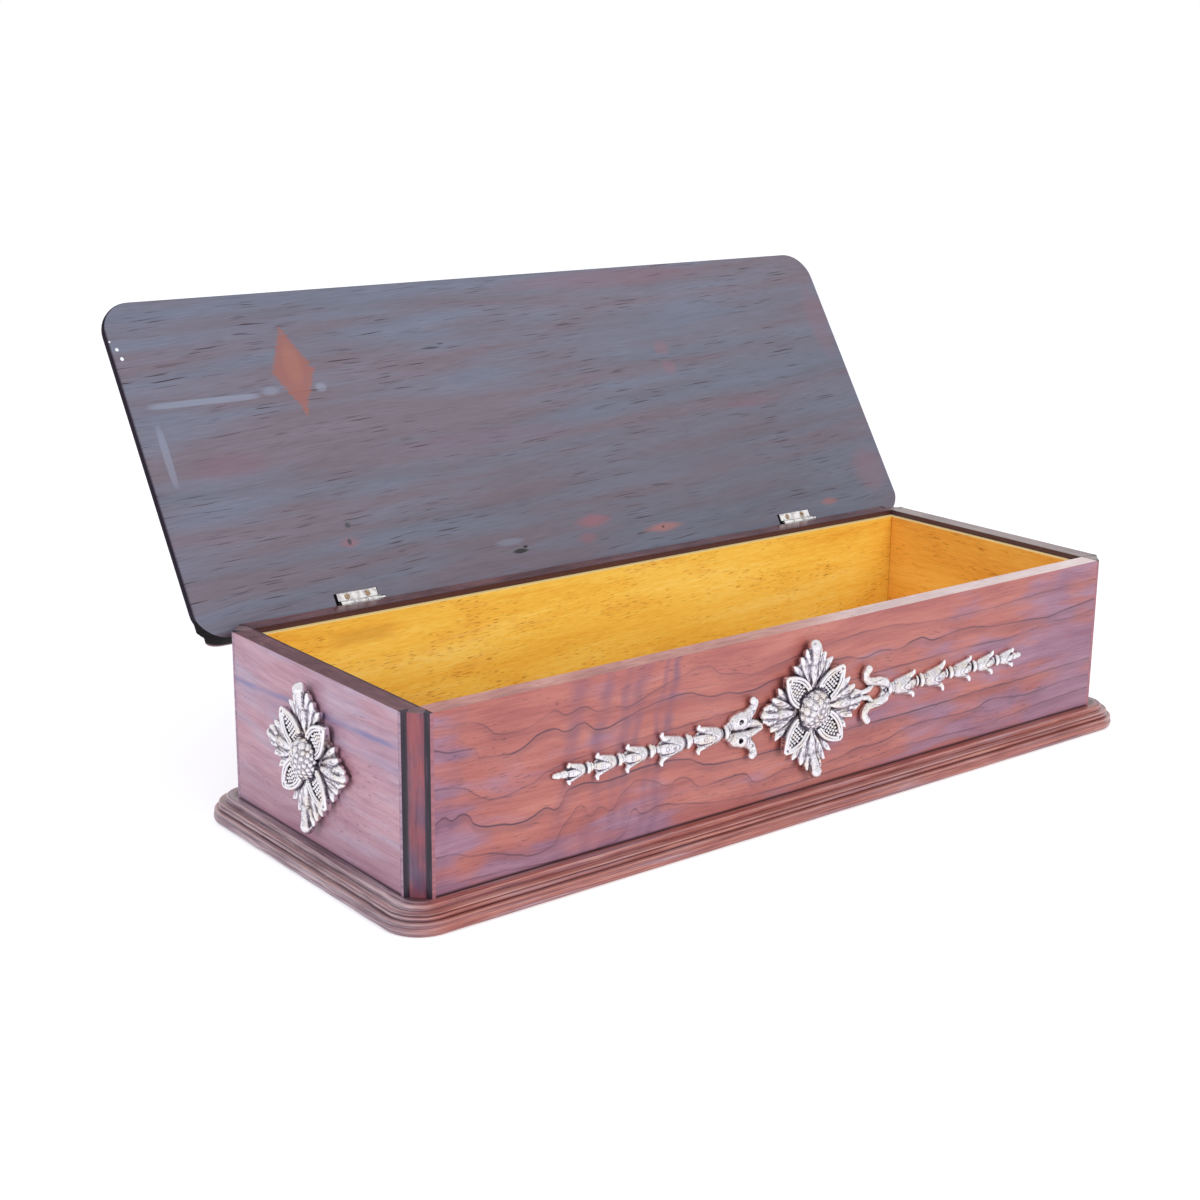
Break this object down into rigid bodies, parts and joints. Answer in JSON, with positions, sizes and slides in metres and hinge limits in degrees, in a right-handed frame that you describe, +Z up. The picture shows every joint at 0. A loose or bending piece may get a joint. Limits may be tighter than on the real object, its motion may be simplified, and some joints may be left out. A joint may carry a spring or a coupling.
{
  "type": "hinged box",
  "caption": "Long low rosewood box for papers and keepsakes, with a moulded base, canted corners, cast silvered mounts and a flat hinged lid that stands open.",
  "frame": {"origin": "centre of the base board's underside", "axes": "+X along the length, to the right as seen from the front, +Y to the back, +Z up"},
  "size_m": [0.3784, 0.2216, 0.1896],
  "materials": {
    "rosewood": "french polished",
    "dark_rosewood": "oiled, worn",
    "ebony": "polished",
    "satinwood": "varnished",
    "silver": "cast, silvered, dark in its hollows",
    "nickel": "satin plate",
    "brass": "aged"
  },
  "bodies": {
    "case": {"base_board": "rosewood", "front_wall": "rosewood", "back_wall": "rosewood", "left_wall": "rosewood", "right_wall": "rosewood", "post_front_left": "rosewood", "post_front_right": "rosewood", "post_back_left": "rosewood", "post_back_right": "rosewood", "corner_strings": "ebony", "floor_panel": "satinwood", "lining_front": "satinwood", "lining_back": "satinwood", "lining_left": "satinwood", "lining_right": "satinwood", "left_box_leaf": "nickel", "left_hinge_pin": "nickel", "right_box_leaf": "nickel", "right_hinge_pin": "nickel", "box_leaf_screws": "brass", "front_rosette": "silver", "left_rosette": "silver", "right_rosette": "silver", "left_garland": "silver", "right_garland": "silver", "mount_pins": "brass"},
    "lid": {"lid_board": "dark_rosewood", "left_lid_leaf": "nickel", "right_lid_leaf": "nickel", "lid_leaf_screws": "brass"}
  },
  "joints": [
    {"name": "lid_hinge", "type": "hinge", "parent": "case", "child": "lid", "pos_m": [0, 0.06745, 0.07564], "axis": [1, 0, 0], "range_deg": [0, 123]}
  ]
}
